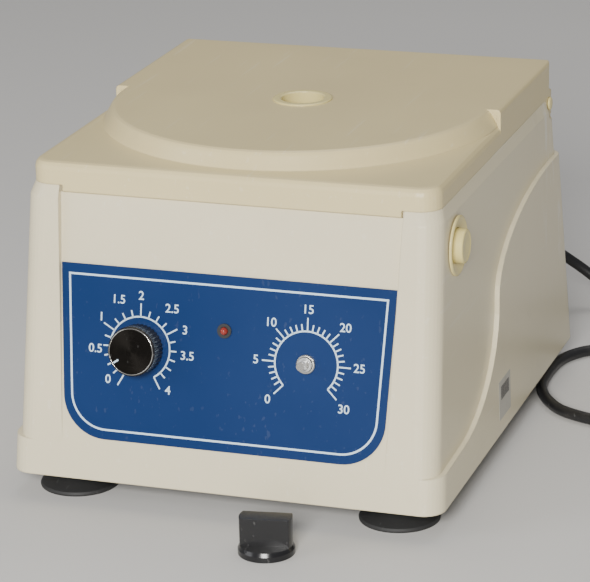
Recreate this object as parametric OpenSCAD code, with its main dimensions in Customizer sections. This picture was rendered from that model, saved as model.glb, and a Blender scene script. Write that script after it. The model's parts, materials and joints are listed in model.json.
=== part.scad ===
// Bench centrifuge for butterfat tests: a moulded case with a hinged lid, an
// angle rotor on a vertical motor, a sloping control panel and suction feet.
// Sizes are in millimetres. The rotor axis is the common centre line, and the
// bench is at z = 0.

/* [Case] */
// Width over the base band
base_w = 292; // [286:1:310]
// Reach of the base in front of the rotor axis
base_front = 182; // [178:1:195]
// Reach of the base behind the rotor axis
base_rear = 174.5; // [172:0.5:190]
// Height of the case's lower edge over the bench
foot_h = 16; // [14:0.5:22]
// Height of the lid joint over the bench
case_top = 203.5; // [198:0.5:215]
// Width of the case just under its top chamfer
top_w = 277; // [275:1:279]
// Reach of the top in front of the rotor axis
top_front = 152.2; // [151:0.2:158]
// Reach of the top behind the rotor axis
top_rear = 143; // [142:0.5:150]
// Height of the chamfer round the top
chamfer_h = 8; // [5:0.5:12]
// Moulded wall
wall = 3; // [2:0.1:3.5]
// Radius of the upright corners
corner_r = 14; // [10:1:20]
// How far the lower side panels stand proud
step_w = 3.5; // [2:0.5:5]
// Depth of the front recess at its top
recess_d = 5; // [3.5:0.5:6]
// Half width of the front recess at its top
recess_half_top = 115; // [112:0.5:118]
// Half width of the front recess at its foot
recess_half_foot = 109; // [105:0.5:111]
// Height at which the recess runs out
recess_foot = 40; // [34:1:44]

/* [Lid] */
// Width of the lid
lid_w = 272; // [270:0.5:273]
// Reach of the lid in front of the rotor axis
lid_front = 148; // [147:0.2:149]
// Reach of the lid behind the rotor axis
lid_rear = 140.5; // [140:0.1:141.5]
// Height of the low front of the lid over the joint
lid_edge_h = 14.5; // [13:0.5:18]
// Height of the raised crown over the joint
crown_h = 25.5; // [22:0.5:30]
// Radius of the crown at its top
crown_r = 127; // [120:1:130]
// Radius of the crown at its foot
crown_foot_r = 134; // [131:1:136]
// How far the front lip hangs below the joint
lip_h = 4.2; // [2.5:0.1:6]
// Half width of the front lip
lip_half = 113; // [108:0.5:114]
// Lid wall
lid_wall = 3; // [2:0.1:3.5]
// Rounding of the lid's low edge
lid_edge_r = 5; // [3:0.5:6]
// Underside of the liner over the joint
liner_lift = 5; // [4.9:0.1:6]
// Thickness of the liner
liner_t = 2; // [1.5:0.1:2.5]

/* [Sight port] */
// Outer radius of the port ring
port_ring_r = 20; // [18:0.5:24]
// Radius of the port
port_r = 14.3; // [12:0.1:16]
// How far the ring stands over the crown
port_proud = 1; // [0.6:0.1:2]
// Thickness of the window
window_t = 2; // [1.5:0.1:3]

/* [Hinge] */
// Hinge axis behind the rotor axis
hinge_y = 133.8; // [133:0.1:134.5]
// Hinge axis below the lid joint
hinge_drop = 4.6; // [4.4:0.1:5]
// Radius of the hinge pins
hinge_pin_r = 3; // [2:0.1:4]
// Radius of the lid's ears round the pins
ear_r = 10.5; // [9:0.1:12]

/* [Latch] */
// Latch centre in front of the rotor axis
latch_y = 116; // [112:1:120]
// Latch centre over the bench
latch_z = 173.5; // [168:0.5:178]
// Radius of the push button
button_r = 11; // [9:0.2:12]
// Travel of the push button
button_travel = 5; // [3:0.5:5]
// How far the button stands out from the case wall
button_proud = 6.8; // [5.5:0.1:8]
// Outer radius of the dished latch ring
latch_ring_r = 19.3; // [18:0.1:21]

/* [Control panel] */
// Gap between the panel and the sides of its recess
panel_side_gap = 0.7; // [0.3:0.1:2]
// Height of the panel along its slope
panel_h = 113; // [108:0.5:116]
// Thickness of the panel
panel_t = 0.8; // [0.5:0.1:1.2]
// Radius of the panel's lower corners
panel_r = 29; // [15:1:35]
// Height of the panel's upper edge over the bench
panel_top = 154.5; // [150:0.5:158]
// Height of the two dial centres over the bench
dial_z = 104; // [98:0.5:108]
// Speed dial, left of the middle
speed_x = 57; // [50:0.5:62]
// Timer dial, right of the middle
timer_x = 55; // [50:0.5:62]
// Height of the power lamp over the bench
lamp_z = 120; // [116:0.5:126]
// Radius of the power lamp
lamp_r = 2.5; // [1.5:0.1:3]
// Radius of the speed knob
knob_r = 16; // [13:0.5:18]
// Depth of the speed knob
knob_h = 15; // [12:0.5:18]
// Radius of the two control shafts
shaft_r = 3; // [2.5:0.1:3.2]
// Radius of the control bushings
bushing_r = 4.6; // [4.3:0.1:5]
// Length of the control shafts in front of the panel
shaft_len = 12; // [10:0.5:14]

/* [Loose timer knob] */
// Radius of the knob's skirt
loose_r = 18; // [15:0.5:20]
// Height of the knob
loose_h = 24; // [18:0.5:28]
// Width of the pointer bar
loose_bar_w = 13; // [10:0.5:16]
// Place of the knob right of the middle
loose_x = 46; // [40:1:60]
// Place of the knob in front of the rotor axis
loose_y = 224; // [215:1:240]

/* [Bowl and rotor] */
// Inner radius of the bowl
bowl_r = 112; // [108:0.5:113]
// Wall of the bowl
bowl_t = 1.5; // [1:0.1:2]
// Inside floor of the bowl over the bench
bowl_floor = 97.5; // [94:0.5:102]
// Number of tube places
places = 6; // [4:1:8]
// Lean of the tubes from upright
tube_lean = 35; // [30:1:38]
// Radius of the circle of tube mouths
mouth_circle = 38; // [36:0.5:44]
// Height of the tube mouths over the bench
mouth_z = 190; // [184:0.5:192]
// Inner radius of a sleeve
sleeve_r = 8.7; // [7:0.1:9]
// Wall of a sleeve
sleeve_t = 0.8; // [0.6:0.1:1]
// Length of a sleeve
sleeve_len = 88; // [70:1:90]
// Radius of the motor shaft
spindle_r = 4; // [3:0.1:5]

/* [Motor] */
// Radius of the motor
motor_r = 45; // [38:1:50]
// Height of the rubber mounts
mount_h = 11; // [8:0.5:12]
// Thickness of the base plate
plate_t = 2.5; // [2:0.1:3]

/* [Feet] */
// Radius of a suction foot
foot_r = 26; // [20:0.5:28]
// Feet right and left of the middle
foot_x = 110; // [100:1:112]
// Front feet in front of the rotor axis
foot_front = 150; // [140:1:152]
// Rear feet behind the rotor axis
foot_rear = 140; // [130:1:145]

/* [Mains lead] */
// Cord diameter
cord_d = 8; // [7:0.1:9]
// Cord exit right of the middle
gland_x = 100; // [95:1:105]
// Cord exit over the bench
gland_z = 62; // [56:0.5:66]

/* [Hidden] */

// Colours as the photograph shows them
beige = [0.80, 0.76, 0.65];
cream = [0.86, 0.81, 0.62];
panel_blue = [0.12, 0.27, 0.49];
black = [0.07, 0.07, 0.08];
steel = [0.72, 0.73, 0.75];
alu = [0.80, 0.81, 0.83];

// Clearances: fit_gap between parts that turn in each other, run_gap between
// bodies that move past each other, seat_gap where a part sits in its place
fit_gap = 0.05;
run_gap = 0.3;
seat_gap = 0.1;
eps = 0.01;
// Thickness of the levels that a hull joins
slice = 0.05;

// Centre the whole object, without the mains lead, over the origin
axis_y = (loose_y + loose_r - base_rear) / 2;

// Slopes of the case, worked out from its base and top sizes
chamfer_z = case_top - chamfer_h;
front_slope = (base_front - top_front) / (chamfer_z - foot_h);
rear_slope = (base_rear - top_rear) / (chamfer_z - foot_h);
side_slope = (base_w / 2 - step_w - top_w / 2) / (chamfer_z - foot_h);
function front_y(z) = -(base_front - (z - foot_h) * front_slope);
function rear_y(z) = base_rear - (z - foot_h) * rear_slope;
function side_x(z) = base_w / 2 - step_w - (z - foot_h) * side_slope;

// The recess is a plane from recess_d deep at the top to flush at its foot
recess_top_y = -(top_front - recess_d);
recess_foot_y = front_y(recess_foot);
recess_slope = (recess_top_y - recess_foot_y) / (chamfer_z - recess_foot);
panel_lean = atan(recess_slope);
function recess_y(z) = recess_foot_y + (z - recess_foot) * recess_slope;

plate_z = foot_h + 1;
plate_top = plate_z + plate_t;
motor_plate_t = 3;
motor_plate_z = plate_top + mount_h;
motor_z = motor_plate_z + motor_plate_t;
motor_top = bowl_floor - bowl_t - 8;
crown_z = case_top + crown_h;
edge_z = case_top + lid_edge_h;
liner_z = case_top + liner_lift;
liner_top = liner_z + liner_t;
hinge_z = case_top - hinge_drop;
lid_half = lid_w / 2;
flange_t = 1.5;
flange_w = 7;
deck_t = 3;

// Everything is drawn about the rotor axis and shifted as one
module place() { translate([0, axis_y, 0]) children(); }

// A child drawn in the panel's own plane: x across, y up the slope, z outwards
module on_panel(x, z, lift = 0) {
  translate([x, recess_y(z), z]) rotate([90 - panel_lean, 0, 0])
    translate([0, 0, lift]) children();
}

// A thin level of the case or lid: half width, reach to the front and the rear
module level(z, half, front, rear, r) {
  translate([0, 0, z]) linear_extrude(slice) rounded_plan(half, front, rear, r);
}

module rounded_plan(half, front, rear, r) {
  translate([-half + r, -front + r]) offset(r = r, $fn = 32)
    square([2 * (half - r), front + rear - 2 * r]);
}

// The case outside: leaning walls up to the chamfer, then in to the lid joint
module case_envelope(extra) {
  hull() {
    level(foot_h, base_w / 2 - step_w + extra, base_front, base_rear, corner_r);
    level(chamfer_z, top_w / 2 + extra, top_front, top_rear, corner_r);
    level(case_top - slice, lid_half + extra, lid_front, top_rear - wall, corner_r);
  }
}

// The hollow under the deck, parallel to the walls and to the recess
module case_hollow() {
  inner_r = corner_r - wall;
  hull() {
    level(foot_h - 1, base_w / 2 - step_w - wall, -recess_y(foot_h) - wall,
      base_rear - wall, inner_r);
    level(chamfer_z - wall, top_w / 2 - wall, -recess_y(chamfer_z - wall) - wall,
      top_rear - wall, inner_r);
    level(case_top - deck_t, lid_half - wall - 1, -recess_y(case_top) - wall,
      top_rear - 2 * wall - 1, inner_r);
  }
}

// Side view of the proud lower side: a flat crest at the rear, falling in one
// S sweep to the base band, with 10 steps to each quarter of the sweep
band_z = 41;
crest_z = 162;
sweep_front = -128;
sweep_mid = -30;
sweep_rear = 120;
mid_z = 110;
side_sweep = concat(
  [for (i = [0:10]) let (t = 9 * i)
    [sweep_rear - (sweep_rear - sweep_mid) * sin(t), mid_z + (crest_z - mid_z) * cos(t)]],
  [for (i = [1:10]) let (t = 9 * i)
    [sweep_front + (sweep_mid - sweep_front) * cos(t), mid_z - (mid_z - band_z) * sin(t)]]);
module side_profile() {
  rotate([90, 0, 90]) translate([0, 0, -base_w])
    linear_extrude(2 * base_w)
      polygon(concat([[base_rear + 20, crest_z - 1]], side_sweep,
        [[-base_front - 20, band_z - 3], [-base_front - 20, 0], [base_rear + 20, 0]]));
}

recess_base_z = recess_foot - 1;
recess_lift = case_top + 2 - recess_base_z;
function recess_half(z) = recess_half_foot
  + (recess_half_top - recess_half_foot) * (z - recess_base_z) / recess_lift;
module front_recess() {
  deep = 40;
  intersection() {
    rotate([90, 0, 90]) translate([0, 0, -base_w / 2]) linear_extrude(base_w)
      polygon([[recess_foot_y, recess_foot], [recess_y(case_top + 1), case_top + 1],
        [recess_y(case_top + 1) - deep, case_top + 1], [recess_foot_y - deep, recess_foot]]);
    rotate([90, 0, 0]) linear_extrude(2 * base_front)
      polygon([[-recess_half_foot, recess_base_z], [recess_half_foot, recess_base_z],
        [recess_half_top, recess_base_z + recess_lift],
        [-recess_half_top, recess_base_z + recess_lift]]);
  }
}

// Screw bosses stand on the base plate and run into the side walls
boss_r = 6.5;
boss_h = 32;
boss_ys = [-128, 0, 128];
boss_x = side_x(plate_top + boss_h) - wall - boss_r + 1;
screw_r = 1.8;

hinge_block_in = 112;
ear_t = lid_wall;
ear_in = lid_half - ear_t;
hinge_face = ear_in - run_gap;
ledge_z = hinge_z - ear_r + 3;
ledge_y = hinge_y + 3.2;

latch_wall_x = side_x(latch_z);
latch_barrel_r = button_r + 4.8;
striker_x = 101;
striker_w = 8;
striker_t = 6;

gland_boss_r = 13;
gland_face = rear_y(gland_z) + 4;
gland_hole_r = 7;
fuse_x = 60;
fuse_z = 112;
fuse_r = 6;
fuse_boss_r = 11;
fuse_face = rear_y(fuse_z) + 2.6;

module housing() color(beige) place() difference() {
  union() {
    difference() {
      union() {
        case_envelope(0);
        intersection() {
          case_envelope(step_w);
          side_profile();
        }
      }
      case_hollow();
    }
    for (s = [-1, 1], y = boss_ys)
      translate([s * boss_x, y, plate_top]) cylinder(r = boss_r, h = boss_h, $fn = 32);
    for (s = [-1, 1]) hinge_block(s);
    rear_boss(gland_x, gland_z, gland_boss_r, gland_face);
    rear_boss(-fuse_x, fuse_z, fuse_boss_r, fuse_face);
  }
  front_recess();
  // seat for the lid's front lip
  translate([-lip_half - 1.5, -top_front - 1, case_top - lip_h - 0.6])
    cube([2 * lip_half + 3, top_front + 1 - lid_front + lid_wall + 0.6, 20]);
  // rear ledge that the open lid swings over
  translate([-base_w, ledge_y, ledge_z]) cube([2 * base_w, 60, 60]);
  // deck edge rounded about the hinge, where the lid's rear corners roll over it
  translate([-base_w, hinge_y, hinge_z]) difference() {
    cube([2 * base_w, 20, 20]);
    rotate([0, 90, 0]) cylinder(r = hinge_drop - run_gap, h = 5 * base_w, center = true, $fn = 64);
  }
  // pockets for the lid's ears
  for (s = [-1, 1]) translate([s * (hinge_face + 20), hinge_y, hinge_z]) {
    rotate([0, 90, 0]) cylinder(r = ear_r + run_gap + 0.1, h = 40, center = true, $fn = 64);
    translate([-20, -ear_r - run_gap - 0.1, 0]) cube([40, 60, 30]);
  }
  for (s = [-1, 1]) translate([s * (hinge_face + 1), hinge_y, hinge_z])
    rotate([0, -90 * s, 0]) cylinder(r = hinge_pin_r + fit_gap, h = 18, $fn = 48);
  for (s = [-1, 1], y = boss_ys)
    translate([s * boss_x, y, plate_top - 1]) cylinder(r = screw_r + fit_gap, h = 15, $fn = 24);
  translate([0, 0, bowl_floor + 20])
    cylinder(r = bowl_r + bowl_t + run_gap, h = 200, $fn = 180);
  translate([0, -latch_y, latch_z]) rotate([0, 90, 0])
    cylinder(r = latch_barrel_r + seat_gap, h = base_w, $fn = 64);
  striker_slot();
  panel_hole(-speed_x, dial_z, bushing_r);
  panel_hole(timer_x, dial_z, bushing_r);
  panel_hole(0, lamp_z, lamp_r + 1.3);
  rear_hole(gland_x, gland_z, gland_hole_r);
  rear_hole(-fuse_x, fuse_z, fuse_r);
  rear_vents();
}

module rear_boss(x, z, r, face) {
  inside = rear_y(z) - 8;
  translate([x, inside, z]) rotate([-90, 0, 0]) cylinder(r = r, h = face - inside, $fn = 64);
}

module rear_hole(x, z, r) {
  translate([x, rear_y(z) - 30, z]) rotate([-90, 0, 0])
    cylinder(r = r + seat_gap, h = 60, $fn = 48);
}

module panel_hole(x, z, r) {
  on_panel(x, z, -12) cylinder(r = r + seat_gap, h = 24, $fn = 48);
}

// Air slots low in the rear wall
module rear_vents() {
  for (i = [-3:3]) translate([i * 11 - 5, rear_y(52) - 14, 40]) cube([4, 28, 26]);
}

module hinge_block(s) {
  long = hinge_face - hinge_block_in;
  translate([s > 0 ? hinge_block_in : -hinge_face, 0, 0]) rotate([90, 0, 90])
    linear_extrude(long) polygon([[hinge_y - 13, case_top - 1], [hinge_y - 13, hinge_z - 6],
      [hinge_y - 4, hinge_z - 14], [rear_y(hinge_z - 14) - 1, hinge_z - 14],
      [rear_y(ledge_z) - 1, ledge_z], [ledge_y, ledge_z], [ledge_y, case_top - 1]]);
}

module striker_slot() {
  translate([striker_x - 1.5, -latch_y - striker_w / 2 - 4.5, case_top - 20])
    cube([striker_t + 3, striker_w + 6.5, 40]);
}

vent_pitch = 9;
plate_vent_x = 88;
plate_vent_l = 32;
plate_vent_w = 4;
base_screw_h = 12;
module base_plate() color(steel) place() difference() {
  translate([0, 0, plate_z]) linear_extrude(plate_t)
    rounded_plan(base_w / 2 - step_w - wall - 0.5, -recess_y(plate_top) - wall - 1,
      base_rear - wall - 1, corner_r - wall);
  for (s = [-1, 1], y = boss_ys) translate([s * boss_x, y, 0])
    cylinder(r = screw_r + seat_gap, h = 60, $fn = 24);
  for (p = foot_places) translate([p[0], p[1], 0])
    cylinder(r = foot_stud_r + seat_gap, h = 60, $fn = 32);
  for (s = [-1, 1], y = [-mount_pitch, mount_pitch]) translate([s * mount_pitch, y, 0])
    cylinder(r = mount_screw_r + seat_gap, h = 60, $fn = 24);
  for (s = [-1, 1], i = [-4:4])
    translate([s * plate_vent_x - plate_vent_l / 2, i * vent_pitch - plate_vent_w / 2, 0])
      cube([plate_vent_l, plate_vent_w, 2 * plate_top]);
}

module base_screws() color(steel) place()
  for (s = [-1, 1], y = boss_ys) translate([s * boss_x, y, 0]) {
    translate([0, 0, plate_z - 2.2]) cylinder(r = 3.6, h = 2.2, $fn = 32);
    translate([0, 0, plate_z - eps])
      cylinder(r = screw_r, h = plate_t + base_screw_h, $fn = 24);
  }

foot_stud_r = 3;
foot_places = [[-foot_x, -foot_front], [foot_x, -foot_front],
  [-foot_x, foot_rear], [foot_x, foot_rear]];
module foot(i) color(black) place() translate([foot_places[i][0], foot_places[i][1], 0])
  rotate_extrude($fn = 72) polygon([[0, 5.2], [6, 4.8], [foot_r - 5, 1.6], [foot_r - 1.6, 0],
    [foot_r, 0], [foot_r + 0.2, 1.2], [foot_r - 0.6, 2.6], [foot_r - 9, 6.2], [11.5, 9],
    [9.5, 11], [9.5, plate_z], [foot_stud_r, plate_z], [foot_stud_r, plate_top + 7],
    [0, plate_top + 7]]);
module foot_front_left() { foot(0); }
module foot_front_right() { foot(1); }
module foot_rear_left() { foot(2); }
module foot_rear_right() { foot(3); }

module foot_nuts() color(steel) place() for (p = foot_places)
  translate([p[0], p[1], plate_top]) difference() {
    cylinder(r = 5.8, h = 5, $fn = 6);
    translate([0, 0, -1]) cylinder(r = foot_stud_r + fit_gap, h = 10, $fn = 32);
  }

// Spun bowl: flange on the deck, straight wall, dished floor with a raised neck
neck_r = 16;
neck_h = 5;
bowl_bend = 14;
module bowl() color(alu) place() rotate_extrude($fn = 180) polygon(concat(
  [[neck_r, bowl_floor + neck_h], [neck_r, bowl_floor - bowl_t]],
  [for (i = [0:6]) let (t = 15 * i) [bowl_r - bowl_bend + (bowl_bend + bowl_t) * sin(t),
    bowl_floor + bowl_bend - (bowl_bend + bowl_t) * cos(t)]],
  [[bowl_r + bowl_t, case_top], [bowl_r + flange_w, case_top],
    [bowl_r + flange_w, case_top + flange_t], [bowl_r, case_top + flange_t]],
  [for (i = [0:6]) let (t = 90 - 15 * i) [bowl_r - bowl_bend + bowl_bend * sin(t),
    bowl_floor + bowl_bend - bowl_bend * cos(t)]],
  [[neck_r + bowl_t, bowl_floor], [neck_r + bowl_t, bowl_floor + neck_h]]));

module bowl_gasket() color(black) place() translate([0, 0, case_top + flange_t])
  difference() {
    cylinder(r = bowl_r + flange_w - 0.5, h = liner_lift - flange_t - run_gap, $fn = 120);
    translate([0, 0, -1]) cylinder(r = bowl_r + 3, h = 20, $fn = 120);
  }

module spindle_boot() color(black) place() rotate_extrude($fn = 64) polygon([
  [spindle_r + 0.6, bowl_floor + 9], [spindle_r + 0.6, bowl_floor + 7],
  [neck_r - 2.5, bowl_floor + 1.5], [neck_r - 2.5, bowl_floor - bowl_t - 1],
  [neck_r - seat_gap, bowl_floor - bowl_t - 1], [neck_r - seat_gap, bowl_floor + neck_h],
  [neck_r + bowl_t, bowl_floor + neck_h], [neck_r + bowl_t, bowl_floor + neck_h + 1.5],
  [neck_r - 2, bowl_floor + neck_h + 1.5], [spindle_r + 2, bowl_floor + 9]]);

module motor() color(steel) place() difference() {
  rotate_extrude($fn = 96) polygon([[0, motor_z], [motor_r - 6, motor_z], [motor_r - 2, motor_z + 3],
    [motor_r - 2, motor_z + 9], [motor_r, motor_z + 10], [motor_r, motor_top - 14],
    [motor_r - 2, motor_top - 13], [motor_r - 3, motor_top - 7], [motor_r - 14, motor_top - 4],
    [13, motor_top - 3], [11, motor_top], [0, motor_top]]);
  translate([0, 0, motor_z + 5]) cylinder(r = spindle_r + fit_gap, h = 100, $fn = 48);
  for (i = [0:11]) rotate(30 * i) translate([motor_r - 9, -3, motor_top - 30]) cube([20, 6, 11]);
}

mount_pitch = 44;
mount_screw_r = 2;
module motor_plate() color(steel) place() difference() {
  translate([0, 0, motor_plate_z]) linear_extrude(motor_plate_t)
    rounded_plan(mount_pitch + 9, mount_pitch + 9, mount_pitch + 9, 9);
  for (s = [-1, 1], y = [-mount_pitch, mount_pitch]) translate([s * mount_pitch, y, 0])
    cylinder(r = mount_screw_r + seat_gap, h = 100, $fn = 24);
}

module vibration_mounts() color(black) place()
  for (s = [-1, 1], y = [-mount_pitch, mount_pitch]) translate([s * mount_pitch, y, plate_top])
    difference() {
      rotate_extrude($fn = 48) polygon([[0, 0], [8, 0], [8, 1.5], [6.2, mount_h / 2],
        [8, mount_h - 1.5], [8, mount_h], [0, mount_h]]);
      translate([0, 0, -1]) cylinder(r = mount_screw_r + seat_gap, h = 30, $fn = 24);
    }

module mount_screws() color(steel) place()
  for (s = [-1, 1], y = [-mount_pitch, mount_pitch]) translate([s * mount_pitch, y, 0]) {
    translate([0, 0, plate_z - 2]) cylinder(r = 3.8, h = 2, $fn = 32);
    translate([0, 0, plate_z - eps])
      cylinder(r = mount_screw_r, h = motor_z - plate_z + 4, $fn = 24);
    translate([0, 0, motor_z]) cylinder(r = 4, h = 3.2, $fn = 6);
  }

// The rotor: a dished head that rises outwards, square to the leaning sleeves
head_t = 3;
seat_depth = 15;
seat_r = sleeve_r + sleeve_t + 2.6;
head_mid_r = mouth_circle + seat_depth * sin(tube_lean);
head_mid_z = mouth_z - seat_depth * cos(tube_lean);
hub_r = 15;
head_rim_r = head_mid_r + 17;
hub_top = head_mid_z - (head_mid_r - hub_r) * tan(tube_lean) + 9;
hub_foot = bowl_floor + 16;
function head_z(r) = head_mid_z + (r - head_mid_r) * tan(tube_lean);
module spindle() color(steel) place() {
  translate([0, 0, motor_z + 6]) cylinder(r = spindle_r, h = hub_top + 16 - motor_z - 6, $fn = 48);
}

module rotor_head() color(alu) place() difference() {
  rotate_extrude($fn = 120) polygon([[0, hub_foot], [hub_r - 3, hub_foot], [hub_r, hub_foot + 3],
    [hub_r, head_z(hub_r) - head_t - 6], [hub_r + 6, head_z(hub_r + 6) - head_t / cos(tube_lean)],
    [head_rim_r, head_z(head_rim_r) - head_t / cos(tube_lean)],
    [head_rim_r + 3, head_z(head_rim_r) + 1], [head_rim_r, head_z(head_rim_r) + 1],
    [hub_r + 1, head_z(hub_r + 1)], [hub_r - 2, hub_top], [0, hub_top]]);
  translate([0, 0, hub_foot - 1]) cylinder(r = spindle_r + fit_gap, h = 200, $fn = 48);
  for (i = [0:places - 1]) tube_axis(i) {
    translate([0, 0, -60]) cylinder(r = sleeve_r + sleeve_t + seat_gap, h = 120, $fn = 48);
    translate([0, 0, -seat_depth - 1]) cylinder(r = seat_r + 0.4, h = 60, $fn = 48);
  }
}

// A tube's own frame: its axis along z, with the mouth at zero
module tube_axis(i) {
  rotate(360 / places * i + 30) translate([mouth_circle, 0, mouth_z]) rotate([0, -tube_lean, 0])
    children();
}

module sleeve(i) color(alu) place() tube_axis(i) rotate_extrude($fn = 48) polygon([
  [0, -sleeve_len], [sleeve_r - 3, -sleeve_len], [sleeve_r + sleeve_t, 4 - sleeve_len],
  [sleeve_r + sleeve_t, -seat_depth - 1], [seat_r, -seat_depth - 1], [seat_r, -seat_depth + 0.4],
  [sleeve_r + sleeve_t, -seat_depth + 0.4], [sleeve_r + sleeve_t, 0], [sleeve_r, 0],
  [sleeve_r, 5 - sleeve_len], [sleeve_r - 3, 2 - sleeve_len], [0, 2 - sleeve_len]]);
module tube_sleeve_1() { sleeve(0); }
module tube_sleeve_2() { sleeve(1); }
module tube_sleeve_3() { sleeve(2); }
module tube_sleeve_4() { sleeve(3); }
module tube_sleeve_5() { sleeve(4); }
module tube_sleeve_6() { sleeve(5); }

module rotor_nut() color(steel) place() translate([0, 0, hub_top]) difference() {
  union() {
    cylinder(r = 8, h = 1.5, $fn = 48);
    translate([0, 0, 1.5]) cylinder(r = 7.5, h = 8, $fn = 6);
    translate([0, 0, 9.5]) cylinder(r = 6.5, h = 9, $fn = 48);
  }
  translate([0, 0, -1]) cylinder(r = spindle_r + fit_gap, h = 17.4, $fn = 48);
}

// Outer form of the lid: a low rounded slab and the raised crown, with the
// crown's rear half at full width
module lid_outline(inset, z) {
  level(z, lid_half - inset, lid_front - inset, lid_rear - inset, corner_r - inset);
}

module lid_slab() {
  hull() {
    lid_outline(0, case_top);
    lid_outline(0, edge_z - lid_edge_r);
    lid_outline(lid_edge_r * 0.13, edge_z - lid_edge_r * 0.5);
    lid_outline(lid_edge_r * 0.45, edge_z - lid_edge_r * 0.12);
    lid_outline(lid_edge_r, edge_z - slice);
  }
}

// The hollow of the slab
module slab_hollow() {
  translate([0, 0, case_top - 1]) linear_extrude(edge_z - lid_wall - case_top + 1)
    rounded_plan(lid_half - lid_wall, lid_front - lid_wall, lid_rear - lid_wall, corner_r - lid_wall);
}

crown_edge_r = 2.4;
module crown_round(inset) {
  top = crown_z - inset;
  rotate_extrude($fn = 120) polygon([[0, case_top + 1],
    [crown_foot_r - inset, case_top + 1], [crown_foot_r - inset, edge_z - inset],
    [crown_r + 2 - inset, top - crown_edge_r], [crown_r + 0.6 - inset, top - 0.7],
    [crown_r - 1.6 - inset, top], [0, top]]);
}

// Its sides stand a hair proud of the slab's, so that no two faces coincide
module crown_rear(inset) {
  top = crown_z - inset;
  hair = 0.02;
  half = lid_half - inset + hair;
  rear = lid_rear - inset + hair;
  foot = case_top + 1;
  intersection() {
    translate([0, 0, foot]) linear_extrude(top - foot)
      rear_plan(half, rear, max(corner_r - 7 - inset, 4));
    rotate([90, 0, 0]) translate([0, 0, -2 * rear]) linear_extrude(4 * rear)
      polygon([[-half, foot - 1], [half, foot - 1], [half, top - crown_edge_r], [half - 0.7, top - 0.7],
        [half - crown_edge_r, top], [crown_edge_r - half, top], [0.7 - half, top - 0.7],
        [-half, top - crown_edge_r]]);
    rotate([90, 0, 90]) translate([0, 0, -half - 1]) linear_extrude(2 * half + 2)
      polygon([[-1, foot - 1], [rear, foot - 1], [rear, top - crown_edge_r], [rear - 0.7, top - 0.7],
        [rear - crown_edge_r, top], [-1, top]]);
  }
}

// The crown's rear plan starts just behind the port, square across
module rear_plan(half, rear, r) {
  difference() {
    rounded_plan(half, 40, rear, r);
    translate([-half - 1, -41]) square([2 * half + 2, 41 + 3]);
  }
}

module lid_shell() color(beige) place() difference() {
  union() {
    lid_slab();
    intersection() {
      crown_round(0);
      translate([0, 0, case_top - 5]) linear_extrude(60)
        rounded_plan(lid_half, lid_front, lid_rear, corner_r);
    }
    crown_rear(0);
    for (s = [-1, 1]) ear(s);
    // front lip
    translate([-lip_half, -lid_front, case_top - lip_h])
      cube([2 * lip_half, lid_wall, lip_h + 1]);
  }
  difference() {
    union() {
      slab_hollow();
      crown_round(lid_wall);
      crown_rear(lid_wall);
    }
    for (p = lid_bosses) translate([p[0], p[1], liner_top]) cylinder(r = 4, h = 40, $fn = 32);
  }
  for (p = lid_bosses) translate([p[0], p[1], case_top - 1])
    cylinder(r = 1.5 + fit_gap, h = liner_lift + liner_t + 4, $fn = 24);
  translate([0, 0, case_top]) cylinder(r = port_r + 1.6 + seat_gap, h = 60, $fn = 96);
  for (s = [-1, 1]) translate([s * lid_half, hinge_y, hinge_z]) rotate([0, 90, 0])
    cylinder(r = hinge_pin_r + fit_gap, h = 30, center = true, $fn = 48);
}

// Ear round the hinge pin, rising straight into the lid's side
module ear(s) {
  translate([s > 0 ? ear_in : -lid_half, 0, 0]) difference() {
    union() {
      translate([0, hinge_y, hinge_z]) rotate([0, 90, 0]) cylinder(r = ear_r, h = ear_t, $fn = 64);
      translate([0, hinge_y - ear_r, hinge_z]) cube([ear_t, 2 * ear_r, case_top + 1 - hinge_z]);
    }
    translate([-1, lid_rear, 0]) cube([ear_t + 2, 60, 400]);
  }
}

lid_bosses = [[-122, -125], [80, -137], [-122, 62], [122, 62], [-100, 121], [100, 121]];
module lid_liner() color(cream) place() difference() {
  translate([0, 0, liner_z]) linear_extrude(liner_t)
    rounded_plan(lid_half - lid_wall - 0.4, lid_front - lid_wall - 0.4,
      lid_rear - lid_wall - 0.4, corner_r - lid_wall);
  cylinder(r = port_r - 1.3, h = 400, $fn = 64);
  for (p = lid_bosses) translate([p[0], p[1], 0]) cylinder(r = 1.5 + seat_gap, h = 400, $fn = 24);
}

module lid_screws() color(steel) place() for (p = lid_bosses) translate([p[0], p[1], 0]) {
  translate([0, 0, liner_z - 1.6]) cylinder(r = 3, h = 1.6, $fn = 32);
  translate([0, 0, liner_z - eps]) cylinder(r = 1.5, h = liner_t + 3, $fn = 24);
}

// Striker: a foot under the liner and a tongue down through the deck, notched
// on its inner side for the slide's nose
nose_h = 5;
striker_foot = latch_z - 10;
module striker_form() {
  foot_w = 16;
  translate([striker_x - 6, -latch_y - foot_w / 2, liner_z - 2]) cube([foot_w + 2, foot_w, 2]);
  difference() {
    translate([striker_x, -latch_y - striker_w / 2, striker_foot])
      cube([striker_t, striker_w, liner_z - 1 - striker_foot]);
    translate([striker_x - 1, -latch_y - striker_w, latch_z - nose_h / 2 - 0.5])
      cube([4, 2 * striker_w, nose_h + 1]);
  }
}
module lid_striker() color(steel) place() striker_form();

module port_ring() color(cream) place() difference() {
  rotate_extrude($fn = 96) polygon([[port_r, liner_top + window_t],
    [port_r + 1.6, liner_top + window_t], [port_r + 1.6, crown_z], [port_ring_r, crown_z],
    [port_ring_r, crown_z + port_proud * 0.6], [port_ring_r - 1, crown_z + port_proud],
    [port_r + 1.2, crown_z + port_proud], [port_r, crown_z + port_proud - 0.6]]);
}

module port_window() color([0.9, 0.86, 0.6]) place() translate([0, 0, liner_top])
  cylinder(r = port_r + 3, h = window_t, $fn = 64);

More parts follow.
